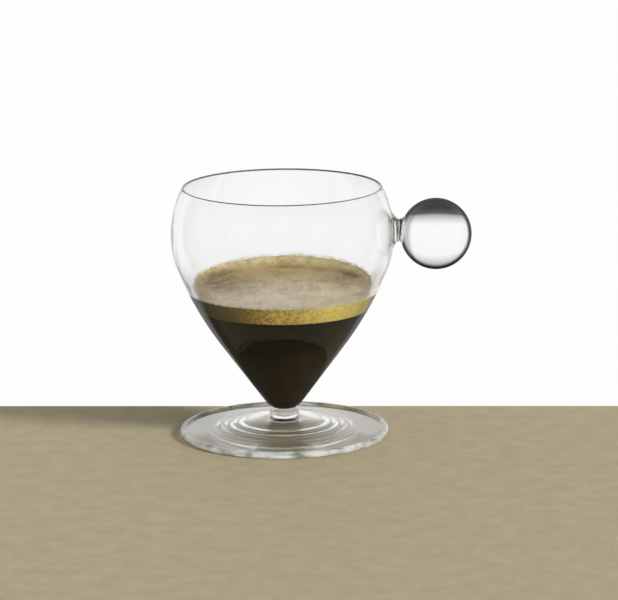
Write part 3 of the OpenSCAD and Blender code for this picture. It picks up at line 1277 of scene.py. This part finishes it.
@dataclass
class Handle:
    """Handle: a flared boss on the bowl's wall, a short waisted neck and a solid glass ball."""

    bowl: Bowl
    rise: float = 1.2 * MM
    droop: float = np.radians(6.5)
    boss_r: float = 6.5 * MM
    boss_l: float = 1.4 * MM
    boss_hollow: float = 0.43 * MM
    neck_r: float = 3.05 * MM
    neck_hollow: float = 0.15 * MM
    neck_l: float = 1.35 * MM
    weld_r: float = 4.2 * MM
    ball_r: float = 10.15 * MM
    boss_steps: int = 20
    neck_steps: int = 16
    ball_steps: int = 96

    def __post_init__(self) -> None:
        """Works out the handle's height, its drooping axis and the ball's centre."""
        self.axis_z = self.bowl.widest_z + self.rise
        self.angles = self.bowl.weld_angles(self.axis_z)
        root_r = float(self.bowl.outside_r(np.array(self.axis_z)))
        self.boss_end = np.array([root_r + self.boss_l, 0.0, self.axis_z])
        self.out = np.array([np.cos(self.droop), 0.0, -np.sin(self.droop)])
        self.up = np.array([np.sin(self.droop), 0.0, np.cos(self.droop)])
        self.neck_end = self.boss_end + self.neck_l * self.out
        self.ball_c = self.neck_end + np.sqrt(self.ball_r**2 - self.weld_r**2) * self.out

    def spokes(self, up: np.ndarray) -> np.ndarray:
        """Unit vectors square to an axis, one for each angle: cosine times Y plus sine times up."""
        side = unit(self.angles)
        return side[:, :1] * np.array([0.0, 1.0, 0.0]) + side[:, 1:] * up

    def boss_tip(self) -> np.ndarray:
        """Ring in which the boss meets the neck."""
        return self.boss_end + self.neck_r * self.spokes(on_axis(1.0))

    def neck_tip(self) -> np.ndarray:
        """Ring in which the neck meets the ball."""
        return self.neck_end + self.weld_r * self.spokes(self.up)

    @staticmethod
    def bent(first: np.ndarray, pull: np.ndarray, last: np.ndarray, steps: int) -> np.ndarray:
        """Rings on quadratic curves from first to last, pulled towards the middle ring.

        Formula: (1 - t) squared times first, plus 2 t (1 - t) times pull, plus t squared times last, so
        half way the curves lie half as far from the straight line as the pull does.

        Args:
            first: First ring.
            pull: Ring of control points.
            last: Last ring.
            steps: Number of equal steps.

        Returns:
            Array of steps + 1 rings.
        """
        t = np.linspace(0.0, 1.0, steps + 1)[:, None, None]
        return (1.0 - t) ** 2 * first + 2.0 * t * (1.0 - t) * pull + t**2 * last

    def build_boss(self) -> bpy.types.Mesh:
        """Mesh of the boss: a flank, a little hollow, from its round foot on the wall in to the neck.

        Returns:
            The new mesh.
        """
        under = self.bowl.weld_rings(self.axis_z, self.boss_r * np.array(WELD_SHARES + (1.0,)))
        chord = self.boss_tip() - under[-1]
        chord /= np.linalg.norm(chord, axis=1, keepdims=True)
        spokes = self.spokes(on_axis(1.0))
        square = spokes - (spokes * chord).sum(axis=1, keepdims=True) * chord
        square /= np.linalg.norm(square, axis=1, keepdims=True)
        pull = (under[-1] + self.boss_tip()) / 2.0 - 2.0 * self.boss_hollow * square
        flank = self.bent(under[-1], pull, self.boss_tip(), self.boss_steps)
        rings = np.concatenate([under, flank[1:]])
        wall_centre = self.bowl.on_wall(np.zeros(1), np.full(1, self.axis_z))[0]
        welds = tuple(range(len(under))) + (len(rings),)
        skin = Skin(rings, wall_centre, self.boss_end, weld_rows=welds,
                    sharp_rings=(len(under) - 1, len(rings) - 1))
        return skin.mesh("glass_boss")

    def build_neck(self) -> bpy.types.Mesh:
        """Mesh of the neck: a ring carried from the boss to the ball, hollow between them.

        Returns:
            The new mesh.
        """
        first, last = self.boss_tip(), self.neck_tip()
        pull = (first + last) / 2.0 - 2.0 * self.neck_hollow * self.spokes(self.up)
        rings = self.bent(first, pull, last, self.neck_steps)
        rows = len(rings)
        skin = Skin(rings, self.boss_end, self.neck_end, weld_rows=(0, rows), sharp_rings=(0, rows - 1))
        return skin.mesh("glass_neck")

    def build_ball(self) -> bpy.types.Mesh:
        """Mesh of the ball: rings from the weld round to the far pole.

        Formula: the centre plus the radius times the sine of the polar angle along the spokes, minus its
        cosine along the axis.

        Returns:
            The new mesh.
        """
        weld_a = np.arcsin(self.weld_r / self.ball_r)
        polar = np.linspace(weld_a, np.pi, self.ball_steps + 1)[:-1, None, None]
        rings = self.ball_c + self.ball_r * (np.sin(polar) * self.spokes(self.up) - np.cos(polar) * self.out)
        far_pole = self.ball_c + self.ball_r * self.out
        return Skin(rings, self.neck_end, far_pole, weld_rows=(0,), sharp_rings=(0,)).mesh("glass_ball")

    def dress(self, weld: bpy.types.Material) -> list[bpy.types.Object]:
        """Builds the three pieces, gives them their glass and sets them in place.

        Args:
            weld: Finish of their welds.

        Returns:
            The boss, the neck and the ball.
        """
        rod = ClearGlass("handle_rod_glass", clear=(0.97, 0.98, 0.95, 1.0), cord=(0.88, 0.90, 0.85, 1.0),
                         waves=Relief(3.0 * MM, 0.03 * MM)).make()
        # Painted shade: the ball's edge colour is near black and a coat tint darkens it further where it
        # turns edge-on.
        ball = ClearGlass("handle_ball_glass", edge=grey(0.03), turn=(0.50, 0.66), outline=0.72,
                          waves=Relief(16.0 * MM, 0.01 * MM)).make()
        return [place(self.build_boss(), [rod, weld], Slot.GLASS, "handle_boss"),
                place(self.build_neck(), [rod, weld], Slot.GLASS, "handle_neck"),
                place(self.build_ball(), [ball, weld], Slot.GLASS, "handle_ball")]


@dataclass
class Coffee:
    """Espresso in the cone of the bowl. It wets the glass, so its skin lies a hair inside the wall."""

    bowl: Bowl
    top_z: float
    wetting: float = 0.1 * MM
    round_steps: int = 240

    def build(self) -> bpy.types.Mesh:
        """Mesh of the coffee: the bowl's inside up to the fill level, moved out by the wetting.

        Returns:
            The new mesh.
        """
        inside = self.bowl.inside_line()
        heights = np.concatenate([inside[inside[:, 1] < self.top_z - self.wetting, 1][1:], [self.top_z]])
        line = np.stack([self.bowl.inside_r(heights) + self.wetting, heights], axis=-1)
        rings = turned(line, self.round_steps)
        skin = Skin(rings, on_axis(self.bowl.floor_z - self.wetting), on_axis(self.top_z),
                    sharp_rings=(len(line) - 1,))
        return skin.mesh("espresso_coffee")

    def dress(self) -> bpy.types.Object:
        """Builds the coffee, gives it its finish and sets it in place."""
        finish = EspressoFinish(high_z=self.top_z).make()
        return place(self.build(), [finish], Slot.COFFEE, "coffee")


@dataclass
class Crema:
    """Foam on the coffee: a streaked top that dips and swells, and a film that climbs the back wall.

    Spans of the climb's share run from 0 on the level top to 1 at the film's edge.

    Attributes:
        bowl: Bowl that holds the foam.
        base_z: Height of the foam's underside.
        top_z: Level of its top.
        wetting: Depth of its skin in the wall.
        side_climb: Climb of the film at the sides.
        side_span: Sines of the azimuth between which it begins.
        back_climb: Further climb at the back.
        back_power: Power of the azimuth's sine that it follows.
        back_lean: Share by which it is higher on the right.
        ragged: Depth of the film's ragged edge.
        ragged_waves: Waves of that edge along the unit circle.
        climb_from: Share of the radius at which the top begins to climb.
        climb_power: Power that makes the climb hollow.
        relief: Depth of the top's swells.
        long_swells: Long swells of the top.
        short_swells: Short swells of the top.
        drawn: Scales of Y that draw out the long and the short swells.
        calm: Share of the radius at the wall that has no swells.
        film_level: Share of the glass side's colour on the film.
        film_from: Span of the climb's share in which that colour begins.
        film_high: Span of the film's height, as a share of the highest, in which it begins.
        film_wander: Waves of its border.
        shade_from: Span of the climb's share in which the shade under the film begins.
        shade_to: Span of the climb's share in which it ends.
        shade_level: Level of the shade all round.
        shade_stretches: Darker stretches of it over the azimuth in degrees.
        painted_shade_patches: Round patches of painted shade on the top, coloured brown.
        bubbles: Number of bubbles along the film's edge.
        bubble_seed: Seed of their random draws.
        bubble_r: Their radii.
        bubble_inset: Distances of their middles from the wall, as shares of their radii.
        spray_mean: Mean height of the bubbles above the lowest ones.
        spray_sink: Depth of the lowest ones below the edge.
        spray_span: Limits of their heights from the edge.
        spray_back: Sines of the azimuth between which the spray grows to its full height.
        front_spray: Share of that height at the front.
        golden_power: Power that makes golden bubbles rare.
        bubble_rings: Steps of a bubble from pole to pole.
        bubble_sides: Steps of a bubble round its axis.
        round_steps: Steps round the foam.
        side_rings: Rings on the glass.
        top_rings: Rings on the top.
        inward_power: Power that sets the top's rings closer to each other in its middle.
    """

    CLING = "cling"
    # Stored share of painted shade on the top.
    PAINTED_SHADE = "hollow"

    bowl: Bowl
    base_z: float
    top_z: float
    wetting: float = 0.1 * MM
    side_climb: float = 0.7 * MM
    side_span: Span = (-0.75, 0.1)
    back_climb: float = 2.4 * MM
    back_power: float = 1.3
    back_lean: float = 0.12
    ragged: float = 0.07 * MM
    ragged_waves: tuple[Waves, ...] = (Waves(0.30, 16, 7), Waves(0.045, 40, 8, 0.8))
    climb_from: float = 0.82
    climb_power: float = 1.5
    relief: float = 0.06 * MM
    long_swells: Waves = Waves(6.0 * MM, 14, 3, 0.7)
    short_swells: Waves = Waves(1.9 * MM, 24, 5, 0.4)
    drawn: Span = (0.4, 0.5)
    calm: float = 0.06
    film_level: float = 0.5
    film_from: Span = (0.10, 0.7)
    film_high: Span = (0.1, 0.6)
    film_wander: Waves = Waves(0.5, 14, 21, 0.10)
    shade_from: Span = (0.0, 0.15)
    shade_to: Span = (0.5, 0.95)
    shade_level: float = 0.1
    shade_stretches: tuple[Bell, ...] = (
        Bell((87.0,), (15.0,), 0.9), Bell((36.0,), (11.0,), 0.8), Bell((140.0,), (18.0,), 0.4))
    painted_shade_patches: tuple[Bell, ...] = (
        Bell((-18.0 * MM, 7.0 * MM), (10.0 * MM, 12.0 * MM), 1.0),
        Bell((19.0 * MM, 8.0 * MM), (6.0 * MM, 9.0 * MM), 0.70))
    bubbles: int = 2800
    bubble_seed: int = 11
    bubble_r: Span = (0.08 * MM, 0.20 * MM)
    bubble_inset: Span = (0.8, 1.6)
    spray_mean: float = 0.30 * MM
    spray_sink: float = 0.15 * MM
    spray_span: Span = (-0.2 * MM, 0.8 * MM)
    spray_back: Span = (-0.6, 0.2)
    front_spray: float = 0.3
    golden_power: float = 1.5
    bubble_rings: int = 4
    bubble_sides: int = 6
    round_steps: int = 360
    side_rings: int = 15
    top_rings: int = 80
    inward_power: float = 1.15

    def climb(self, azimuth: np.ndarray) -> np.ndarray:
        """Height of the film on the wall above the foam's level.

        Formula: nothing at the front, a low edge at the sides, highest at the back a little to the right,
        with a ragged edge of random waves.

        Args:
            azimuth: Angles from +X in radians.

        Returns:
            Heights in metres.
        """
        back = np.clip(np.sin(azimuth), 0.0, None) ** self.back_power
        side = smooth_step(np.sin(azimuth), *self.side_span)
        lean = 1.0 + self.back_lean * np.cos(azimuth)
        ragged = sum(waves.round_circle(azimuth) for waves in self.ragged_waves)
        return side * (self.side_climb + self.back_climb * back * lean + self.ragged * ragged)

    def bubble_shells(self, first: int) -> tuple[np.ndarray, list[list[int]], np.ndarray]:
        """Small round shells of foam along the film's edge and along the front of the top.

        Formula: a unit ball's points times each bubble's radius plus its centre. The centres lie at random
        azimuths against the wall, about the edge, and ever fewer of them with the height above it.

        Args:
            first: Number of the bubbles' first point in the mesh.

        Returns:
            Points of all bubbles, their faces, and how much each point has of the colour at the glass.
        """
        rng = np.random.default_rng(self.bubble_seed)
        azimuth = rng.uniform(0.0, 2.0 * np.pi, self.bubbles)
        radius = rng.uniform(*self.bubble_r, self.bubbles)
        spray = np.clip(rng.exponential(self.spray_mean, self.bubbles) - self.spray_sink, *self.spray_span)
        back = smooth_step(np.sin(azimuth), *self.spray_back)
        spray *= self.front_spray + (1.0 - self.front_spray) * back
        height = self.top_z + self.climb(azimuth) + spray
        inset = radius * rng.uniform(*self.bubble_inset, self.bubbles)
        out = self.bowl.inside_r(height) + self.wetting - inset
        centre = round_axis(out, azimuth, height)
        polar = np.linspace(0.0, np.pi, self.bubble_rings + 1)[1:-1]
        line = np.stack([np.sin(polar), -np.cos(polar)], axis=-1)
        ball = Skin(turned(line, self.bubble_sides), on_axis(-1.0), on_axis(1.0))
        points = centre[:, None] + radius[:, None, None] * ball.points()
        start = first + np.arange(self.bubbles)[:, None, None] * len(ball.points())
        caps = np.concatenate([ball.fan(False), ball.fan(True)]) + start
        walls = ball.walls().reshape(-1, 4) + start
        golden = rng.uniform(0.0, 1.0, self.bubbles) ** self.golden_power
        faces = caps.reshape(-1, 3).tolist() + walls.reshape(-1, 4).tolist()
        return points.reshape(-1, 3), faces, np.repeat(golden, len(ball.points()))

    def film_share(self, azimuth: np.ndarray, lift: np.ndarray) -> np.ndarray:
        """Share of the colour at the glass on the top.

        Formula: the film's level, eased in with the climb's share, moved by random waves, and eased in with
        the film's own height at the azimuth.

        Args:
            azimuth: Angles from +X in radians.
            lift: Climb's share at each ring.

        Returns:
            Shares of shape (rings, azimuths).
        """
        high = np.clip(self.climb(azimuth) / (self.side_climb + self.back_climb), 0.0, 1.0)
        border = smooth_step(lift + self.film_wander.round_circle(azimuth), *self.film_from)
        return self.film_level * border * smooth_step(high, *self.film_high)

    def shade_share(self, azimuth: np.ndarray, lift: np.ndarray, flat: np.ndarray) -> np.ndarray:
        """Share of painted shade on the top.

        Formula: a band under the film, darker on some stretches of the azimuth, plus round soft patches.

        Args:
            azimuth: Angles from +X in radians.
            lift: Climb's share at each ring.
            flat: X and Y of the top's points.

        Returns:
            Shares of shape (rings, azimuths).
        """
        band = smooth_step(lift, *self.shade_from) * (1.0 - smooth_step(lift, *self.shade_to))
        stretches = self.shade_level + sum(bell.at(np.degrees(azimuth)) for bell in self.shade_stretches)
        patches = sum(bell.at(flat[..., 0], flat[..., 1]) for bell in self.painted_shade_patches)
        return np.clip(band * stretches + patches, 0.0, 1.0)

    def build(self) -> bpy.types.Mesh:
        """Mesh of the foam: bottom, side on the glass, top from the wall in to the middle, and bubbles.

        Formula: the side is the bowl's inside, moved out by the wetting, up to the film's edge. The top is
        its level plus the swells, and near the wall plus the climb's share of the film's height.

        Returns:
            The new mesh, with the shares of its colours stored at its points.
        """
        azimuth = full_turn(self.round_steps)
        edge_z = self.top_z + self.climb(azimuth)
        share = np.linspace(0.0, 1.0, self.side_rings)[:, None]
        side_z = self.base_z + share * (edge_z - self.base_z)
        side_r = self.bowl.inside_r(side_z) + self.wetting
        inward = (1.0 - np.linspace(0.0, 1.0, self.top_rings + 1)[1:-1, None]) ** self.inward_power
        top_r = inward * side_r[-1]
        flat = top_r[..., None] * unit(azimuth)
        lift = smooth_step(inward, self.climb_from, 1.0) ** self.climb_power
        swells = (self.long_swells.at(flat[..., 0], flat[..., 1] * self.drawn[0])
                  + self.short_swells.at(flat[..., 0], flat[..., 1] * self.drawn[1]))
        swells *= smooth_step(1.0 - inward, 0.0, self.calm)
        top_z = self.top_z + lift * (edge_z - self.top_z) + self.relief * swells
        radius = np.concatenate([side_r, top_r])
        height = np.concatenate([side_z, top_z])
        rings = round_axis(radius, azimuth, height)
        skin = Skin(rings, on_axis(self.base_z), on_axis(top_z[-1].mean()), sharp_rings=(0,))
        points = skin.points()
        shells, shell_faces, golden = self.bubble_shells(len(points))
        kinds = np.concatenate([skin.face_kinds(), np.full(len(shell_faces), Face.SKIN.value)])
        labels = np.concatenate([skin.sharp_labels(), np.full(len(shells), -1)])
        mesh = make_mesh("espresso_crema", np.concatenate([points, shells]), skin.faces() + shell_faces,
                         kinds, labels)
        # Stored shares: the side colour, with its painted light and shade, on the wall and film; painted
        # shade under the film and in patches on the top.
        film = self.film_share(azimuth, lift)
        shade = self.shade_share(azimuth, lift, flat)
        plain = np.zeros_like(golden)
        for name, wall, top, froth in ((self.CLING, 1.0, film, golden), (self.PAINTED_SHADE, 0.0, shade, plain)):
            value = np.concatenate([np.full(side_r.size, wall), top.ravel(), [wall, 0.0], froth])
            mesh.attributes.new(name, "FLOAT", "POINT").data.foreach_set("value", value)
        return mesh

    def dress(self) -> bpy.types.Object:
        """Builds the foam, gives it its finish and sets it in place."""
        return place(self.build(), [CremaFinish(top_z=self.top_z).make()], Slot.CREMA, "crema")


@dataclass
class Studio:
    """Plain floor, soft light, white surroundings and the camera.

    The levels of the backdrop are pairs of a height in degrees above the horizon and the light there.
    """

    floor_gap: float = 0.05 * MM
    floor_back: float = 31.9 * MM
    floor_front: float = -420.0 * MM
    floor_half: float = 420.0 * MM
    floor_t: float = 28.0 * MM
    floor_round: float = 1.2 * MM
    floor_steps: int = 8
    floor_yaw: float = np.radians(-2.4)
    elevation: float = np.radians(12.565)
    distance: float = 1.0
    aim_z: float = 38.985 * MM
    focal_px: float = 3499.0
    sensor_w: float = 36.0
    yaw: float = np.radians(0.424)
    roll: float = np.radians(-0.6)
    levels: tuple[Span, ...] = (
        (-90.0, 0.01), (-54.0, 0.02), (-45.0, 0.035), (-39.0, 0.07), (-34.4, 0.13), (-33.4, 0.36),
        (-30.0, 0.56), (-25.0, 0.81), (-21.5, 0.96), (-19.0, 0.985), (15.0, 0.985), (28.0, 0.70),
        (38.0, 0.42), (50.0, 0.24), (90.0, 0.16))
    backdrop_left: float = np.radians(-54.0)
    backdrop_right: float = np.radians(38.0)
    backdrop_soft: float = np.radians(6.0)
    surround: float = 0.55
    ambient: float = 0.45
    key_way: Triple = (0.75, -0.45, 0.42)
    key_core: float = np.radians(3.0)
    key_edge: float = np.radians(8.0)
    key_level: float = 100.0
    fill_way: Triple = (0.60, -0.80, 0.03)
    fill_core: float = np.radians(18.0)
    fill_edge: float = np.radians(52.0)
    fill_level: float = 1.6
    bounces: int = 256

    def build_floor(self) -> bpy.types.Object:
        """Floor slab with a rounded back edge: a section carried along X, then turned about its back edge.

        Returns:
            The floor.
        """
        reach = np.array([-self.floor_half, self.floor_half])
        top = -self.floor_gap
        bend = np.array([self.floor_back - self.floor_round, top - self.floor_round])
        corner = arc(bend, self.floor_round, np.pi / 2.0, 0.0, self.floor_steps)
        front = [[self.floor_front, top - self.floor_t], [self.floor_front, top]]
        section = np.concatenate([front, corner, [[self.floor_back, top - self.floor_t]]])
        ends = np.stack([np.insert(section, 0, x, axis=1) for x in reach])
        middle = np.array([0.0, section[:, 0].mean(), top - self.floor_t / 2.0])
        poles = [middle + np.array([x, 0.0, 0.0]) for x in reach]
        skin = Skin(ends[::-1], poles[1], poles[0], sharp_rings=(0, 1))
        points = skin.points()
        along = unit(self.floor_yaw)
        turn = np.array([along, [-along[1], along[0]]])
        pivot = np.array([0.0, self.floor_back])
        points[:, :2] = (points[:, :2] - pivot) @ turn + pivot
        mesh = make_mesh("floor", points, skin.faces(), skin.face_kinds(), skin.sharp_labels())
        mesh.shade_flat()
        mesh.materials.append(FloorFinish().make())
        floor = bpy.data.objects.new("floor", mesh)
        bpy.context.scene.collection.objects.link(floor)
        return floor

    def backdrop(self, tree: Tree, way: Socket) -> Socket:
        """Light that the camera and the glass see in a direction.

        Formula: a level for the direction's height, white near the horizon, times a share that is 1 on the
        backdrop behind the cup and falls to the surroundings' level beside it.

        Args:
            tree: Node tree of the world.
            way: Direction looked at.

        Returns:
            The level's socket.
        """
        split = tree.node("ShaderNodeSeparateXYZ", Vector=way)
        ramp = tree.node("ShaderNodeValToRGB", Fac=tree.spread(split.outputs["Z"], (-1.0, 1.0)))
        elements = ramp.color_ramp.elements
        for degrees, level in self.levels:
            spot = (np.sin(np.radians(degrees)) + 1.0) / 2.0
            ends = {-90.0: elements[0], 90.0: elements[-1]}
            element = ends[degrees] if degrees in ends else elements.new(spot)
            element.position = spot
            element.color = grey(level)
        bearing = tree.sum("ARCTAN2", split.outputs["X"], split.outputs["Y"])
        left, right, soft = self.backdrop_left, self.backdrop_right, self.backdrop_soft
        inside = tree.sum("MULTIPLY", tree.spread(bearing, (left - soft, left + soft), eased=True),
                          tree.spread(bearing, (right - soft, right + soft), (1.0, 0.0), eased=True))
        share = tree.spread(inside, (0.0, 1.0), (self.surround, 1.0))
        return tree.sum("MULTIPLY", ramp.outputs["Color"], share)

    def soft_light(self, tree: Tree, way: Socket) -> Socket:
        """Light that falls on the pieces: even all round, with a key and a low wide fill from the right.

        Args:
            tree: Node tree of the world.
            way: Direction that the light comes from.

        Returns:
            The level's socket.
        """
        key = self.glow(tree, way, self.key_way, (self.key_edge, self.key_core), self.key_level)
        fill = self.glow(tree, way, self.fill_way, (self.fill_edge, self.fill_core), self.fill_level)
        return tree.sum("ADD", tree.sum("ADD", key, fill), self.ambient)

    @staticmethod
    def glow(tree: Tree, way: Socket, middle: Triple, angles: Span, level: float) -> Socket:
        """Round soft patch of light.

        Formula: the cosine of the angle between the direction and the middle, eased from 0 at the edge's
        angle to the full level at the core's angle.

        Args:
            tree: Node tree of the world.
            way: Direction looked at.
            middle: Direction of the patch's middle.
            angles: Angles of the edge and of the core, in radians.
            level: Level within the core.

        Returns:
            The level's socket.
        """
        made = tree.node("ShaderNodeVectorMath", {"operation": "DOT_PRODUCT"})
        tree.wire(made.inputs[0], way)
        tree.wire(made.inputs[1], (np.array(middle) / np.linalg.norm(middle)).tolist())
        edge, core = np.cos(angles)
        return tree.spread(made.outputs["Value"], (edge, core), (0.0, level), eased=True)

    def build_world(self) -> None:
        """Surroundings: the backdrop for what is seen, the soft light for what is lit."""
        world = bpy.data.worlds.new("studio")
        bpy.context.scene.world = world
        tree = Tree(world)
        way = tree.node("ShaderNodeTexCoord").outputs["Generated"]
        path = tree.node("ShaderNodeLightPath").outputs
        clear = tree.sum("MAXIMUM", path["Is Glossy Ray"], path["Is Transmission Ray"])
        clear = tree.sum("MAXIMUM", path["Is Camera Ray"], clear)
        direct = tree.sum("SUBTRACT", 1.0, tree.sum("MINIMUM", path["Diffuse Depth"], 1.0))
        seen = tree.node("ShaderNodeBackground", Color=grey(1.0), Strength=self.backdrop(tree, way))
        lit = tree.node("ShaderNodeBackground", Color=grey(1.0), Strength=self.soft_light(tree, way))
        mix = tree.node("ShaderNodeMixShader", Fac=tree.sum("MULTIPLY", clear, direct))
        tree.wire(mix.inputs[1], lit.outputs[0])
        tree.wire(mix.inputs[2], seen.outputs[0])
        tree.node("ShaderNodeOutputWorld", Surface=mix.outputs[0])

    def build_camera(self) -> bpy.types.Object:
        """Camera at the photograph's angle, a little turned and tilted as the photograph's was.

        Returns:
            The camera.
        """
        back = np.array([0.0, -np.cos(self.elevation), np.sin(self.elevation)])
        spot = on_axis(self.aim_z) + self.distance * back
        right = np.array([1.0, 0.0, 0.0])
        up = np.cross(right, -back)
        ahead = np.cos(self.yaw) * -back + np.sin(self.yaw) * right
        right = np.cos(self.yaw) * right + np.sin(self.yaw) * back
        level = np.cos(self.roll) * right + np.sin(self.roll) * up
        above = np.cos(self.roll) * up - np.sin(self.roll) * right
        stand = np.eye(4)
        stand[:3] = np.stack([level, above, -ahead, spot], axis=-1)
        data = bpy.data.cameras.new("camera")
        data.sensor_width = self.sensor_w
        data.lens = self.focal_px / PHOTO_WIDTH * self.sensor_w
        camera = bpy.data.objects.new("camera", data)
        bpy.context.scene.collection.objects.link(camera)
        camera.matrix_world = Matrix(stand.tolist())
        bpy.context.scene.camera = camera
        return camera

    def build(self) -> None:
        """Sets up the whole studio. Light may be reflected many times within the glass."""
        self.build_camera()
        self.build_floor()
        self.build_world()
        cycles = bpy.context.scene.cycles
        cycles.max_bounces = self.bounces
        cycles.glossy_bounces = self.bounces
        cycles.transmission_bounces = self.bounces
        bpy.context.scene.view_settings.view_transform = "Standard"


def main() -> None:
    """Builds the studio and the cup's pieces in order."""
    logging.basicConfig(level=logging.INFO, format="%(message)s")
    Studio().build()
    weld = ClearWeld().make()
    foot_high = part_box("foot")[1]
    bowl = Bowl(base_z=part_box("bowl")[0].z)
    handle = Handle(bowl)
    Foot(foot_r=foot_high.x, foot_h=foot_high.z, knop_top_z=bowl.base_z).dress(weld)
    coffee_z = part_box("coffee")[1].z
    crema_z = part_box("crema")[1].z
    bowl.dress(bowl.build(handle.axis_z, handle.boss_r, crema_z), weld)
    handle.dress(weld)
    Coffee(bowl, coffee_z).dress()
    Crema(bowl, coffee_z, crema_z).dress()


if __name__ == "__main__":
    main()
